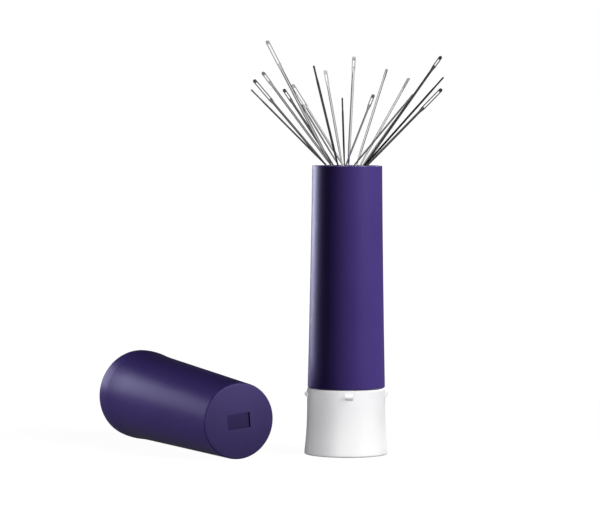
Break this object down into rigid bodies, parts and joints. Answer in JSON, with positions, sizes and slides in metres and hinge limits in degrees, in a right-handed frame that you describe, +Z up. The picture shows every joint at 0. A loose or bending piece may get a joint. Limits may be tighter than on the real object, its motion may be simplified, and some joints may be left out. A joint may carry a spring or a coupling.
{
  "type": "needle dispenser",
  "caption": "Twist-up dispenser for sewing needles: white foot, purple tube, magnet carrier on a spiral, needles fanned out of the mouth, and its cap lying beside it.",
  "frame": {"origin": "centre of the foot's flat underside, on the surface it stands on", "axes": "+Z up along the tube's axis, which is the way the needles rise; the cap lies at -X with its open mouth towards +Y"},
  "size_m": [0.0888, 0.1066, 0.138],
  "materials": {
    "purple_plastic": "satin",
    "white_plastic": "fine matt",
    "magnet_nickel": "nickel plated",
    "needle_steel": "polished nickel"
  },
  "bodies": {
    "base": {"twist_base": "white_plastic", "guide_barrel": "white_plastic", "retaining_ring": "white_plastic"},
    "tube": {"outer_tube": "purple_plastic", "spiral_sleeve": "white_plastic"},
    "carrier": {"needle_carrier": "white_plastic", "magnet": "magnet_nickel"},
    "cap_off": {"cap": "purple_plastic"},
    "embroidery_needle_1_swing": {"embroidery_needle_1": "needle_steel"},
    "embroidery_needle_2_swing": {"embroidery_needle_2": "needle_steel"},
    "embroidery_needle_3_swing": {"embroidery_needle_3": "needle_steel"},
    "embroidery_needle_4_swing": {"embroidery_needle_4": "needle_steel"},
    "darning_needle_1_swing": {"darning_needle_1": "needle_steel"},
    "darning_needle_2_swing": {"darning_needle_2": "needle_steel"},
    "darning_needle_3_swing": {"darning_needle_3": "needle_steel"},
    "household_needle_1_swing": {"household_needle_1": "needle_steel"},
    "household_needle_2_swing": {"household_needle_2": "needle_steel"},
    "household_needle_3_swing": {"household_needle_3": "needle_steel"},
    "household_needle_4_swing": {"household_needle_4": "needle_steel"},
    "sharp_needle_1_swing": {"sharp_needle_1": "needle_steel"},
    "sharp_needle_2_swing": {"sharp_needle_2": "needle_steel"},
    "sharp_needle_3_swing": {"sharp_needle_3": "needle_steel"},
    "sharp_needle_4_swing": {"sharp_needle_4": "needle_steel"},
    "sharp_needle_5_swing": {"sharp_needle_5": "needle_steel"},
    "sharp_needle_6_swing": {"sharp_needle_6": "needle_steel"},
    "sharp_needle_7_swing": {"sharp_needle_7": "needle_steel"},
    "sharp_needle_8_swing": {"sharp_needle_8": "needle_steel"}
  },
  "joints": [
    {"name": "twist", "type": "hinge", "parent": "base", "child": "tube", "pos_m": [0, 0, 0.0594], "axis": [0, 0, 1], "range_deg": [-450, 0]},
    {"name": "carrier_rise", "type": "slide", "parent": "base", "child": "carrier", "axis": [0, 0, 1], "range_m": [-0.0501, 0]},
    {"name": "cap_lift", "type": "slide", "parent": "base", "child": "cap_off", "axis": [-0.3, 0, 0.9539], "range_m": [0, 0.15]},
    {"name": "embroidery_needle_1_lean", "type": "hinge", "parent": "base", "child": "embroidery_needle_1_swing", "pos_m": [-0.04902, 0.046, 0.06345], "axis": [-0.6934, -0.7206, 0], "range_deg": [-41.72, 0]},
    {"name": "embroidery_needle_2_lean", "type": "hinge", "parent": "base", "child": "embroidery_needle_2_swing", "pos_m": [0.06129, -0.02742, 0.06508], "axis": [0.4171, 0.9089, 0], "range_deg": [-41.69, 0]},
    {"name": "embroidery_needle_3_lean", "type": "hinge", "parent": "base", "child": "embroidery_needle_3_swing", "pos_m": [0.07044, -0.01362, 0.06212], "axis": [0.2092, 0.9779, 0], "range_deg": [-38.79, 0]},
    {"name": "embroidery_needle_4_lean", "type": "hinge", "parent": "base", "child": "embroidery_needle_4_swing", "pos_m": [-0.0254, 0.06683, 0.06211], "axis": [-0.9138, -0.4061, 0], "range_deg": [-38.33, 0]},
    {"name": "darning_needle_1_lean", "type": "hinge", "parent": "base", "child": "darning_needle_1_swing", "pos_m": [-0.1049, 0.02049, 0.063], "axis": [-0.1995, -0.9799, 0], "range_deg": [-26.95, 0]},
    {"name": "darning_needle_2_lean", "type": "hinge", "parent": "base", "child": "darning_needle_2_swing", "pos_m": [0.0464, -0.06078, 0.06483], "axis": [0.7782, 0.628, 0], "range_deg": [-37.48, 0]},
    {"name": "darning_needle_3_lean", "type": "hinge", "parent": "base", "child": "darning_needle_3_swing", "pos_m": [-0.04486, -0.10493, 0.06691], "axis": [0.9203, -0.3911, 0], "range_deg": [-25.66, 0]},
    {"name": "household_needle_1_lean", "type": "hinge", "parent": "base", "child": "household_needle_1_swing", "pos_m": [-0.06556, 0.00862, 0.06366], "axis": [-0.1573, -0.9876, 0], "range_deg": [-42.19, 0]},
    {"name": "household_needle_2_lean", "type": "hinge", "parent": "base", "child": "household_needle_2_swing", "pos_m": [-0.06933, 0.02831, 0.05915], "axis": [-0.395, -0.9187, 0], "range_deg": [-36.53, 0]},
    {"name": "household_needle_3_lean", "type": "hinge", "parent": "base", "child": "household_needle_3_swing", "pos_m": [-0.00719, 0.13912, 0.06568], "axis": [-0.9983, -0.0587, 0], "range_deg": [-20.81, 0]},
    {"name": "household_needle_4_lean", "type": "hinge", "parent": "base", "child": "household_needle_4_swing", "pos_m": [0.02007, -0.08671, 0.06734], "axis": [0.9616, 0.2745, 0], "range_deg": [-31.91, 0]},
    {"name": "sharp_needle_1_lean", "type": "hinge", "parent": "base", "child": "sharp_needle_1_swing", "pos_m": [-0.05379, 0.02436, 0.06362], "axis": [-0.4185, -0.9082, 0], "range_deg": [-46.56, 0]},
    {"name": "sharp_needle_2_lean", "type": "hinge", "parent": "base", "child": "sharp_needle_2_swing", "pos_m": [-0.02174, 0.06766, 0.06223], "axis": [-0.9375, -0.3479, 0], "range_deg": [-39.42, 0]},
    {"name": "sharp_needle_3_lean", "type": "hinge", "parent": "base", "child": "sharp_needle_3_swing", "pos_m": [-0.13261, -0.05682, 0.0664], "axis": [0.3842, -0.9232, 0], "range_deg": [-20.36, 0]},
    {"name": "sharp_needle_4_lean", "type": "hinge", "parent": "base", "child": "sharp_needle_4_swing", "pos_m": [0.04642, 0.10443, 0.06353], "axis": [-0.9124, 0.4094, 0], "range_deg": [-25.63, 0]},
    {"name": "sharp_needle_5_lean", "type": "hinge", "parent": "base", "child": "sharp_needle_5_swing", "pos_m": [0.09632, 0.04416, 0.06482], "axis": [-0.4026, 0.9154, 0], "range_deg": [-27.65, 0]},
    {"name": "sharp_needle_6_lean", "type": "hinge", "parent": "base", "child": "sharp_needle_6_swing", "pos_m": [0.09224, -0.0037, 0.0527], "axis": [0.0618, 0.9981, 0], "range_deg": [-30.04, 0]},
    {"name": "sharp_needle_7_lean", "type": "hinge", "parent": "base", "child": "sharp_needle_7_swing", "pos_m": [0.0364, -0.0616, 0.06256], "axis": [0.8354, 0.5497, 0], "range_deg": [-37.84, 0]},
    {"name": "sharp_needle_8_lean", "type": "hinge", "parent": "base", "child": "sharp_needle_8_swing", "pos_m": [0.06218, -0.01573, 0.06498], "axis": [0.2577, 0.9662, 0], "range_deg": [-43.4, 0]}
  ],
  "couplings": [
    {"joint": "carrier_rise", "follows": "twist", "m_per_rad": 0.0063662},
    {"joint": "embroidery_needle_1_lean", "follows": "twist", "ratio": 0.092655},
    {"joint": "embroidery_needle_2_lean", "follows": "twist", "ratio": 0.09259},
    {"joint": "embroidery_needle_3_lean", "follows": "twist", "ratio": 0.086154},
    {"joint": "embroidery_needle_4_lean", "follows": "twist", "ratio": 0.085133},
    {"joint": "darning_needle_1_lean", "follows": "twist", "ratio": 0.059827},
    {"joint": "darning_needle_2_lean", "follows": "twist", "ratio": 0.083239},
    {"joint": "darning_needle_3_lean", "follows": "twist", "ratio": 0.056974},
    {"joint": "household_needle_1_lean", "follows": "twist", "ratio": 0.093692},
    {"joint": "household_needle_2_lean", "follows": "twist", "ratio": 0.081112},
    {"joint": "household_needle_3_lean", "follows": "twist", "ratio": 0.046184},
    {"joint": "household_needle_4_lean", "follows": "twist", "ratio": 0.070859},
    {"joint": "sharp_needle_1_lean", "follows": "twist", "ratio": 0.10341},
    {"joint": "sharp_needle_2_lean", "follows": "twist", "ratio": 0.08755},
    {"joint": "sharp_needle_3_lean", "follows": "twist", "ratio": 0.045181},
    {"joint": "sharp_needle_4_lean", "follows": "twist", "ratio": 0.056903},
    {"joint": "sharp_needle_5_lean", "follows": "twist", "ratio": 0.061386},
    {"joint": "sharp_needle_6_lean", "follows": "twist", "ratio": 0.06671},
    {"joint": "sharp_needle_7_lean", "follows": "twist", "ratio": 0.084041},
    {"joint": "sharp_needle_8_lean", "follows": "twist", "ratio": 0.09638}
  ]
}
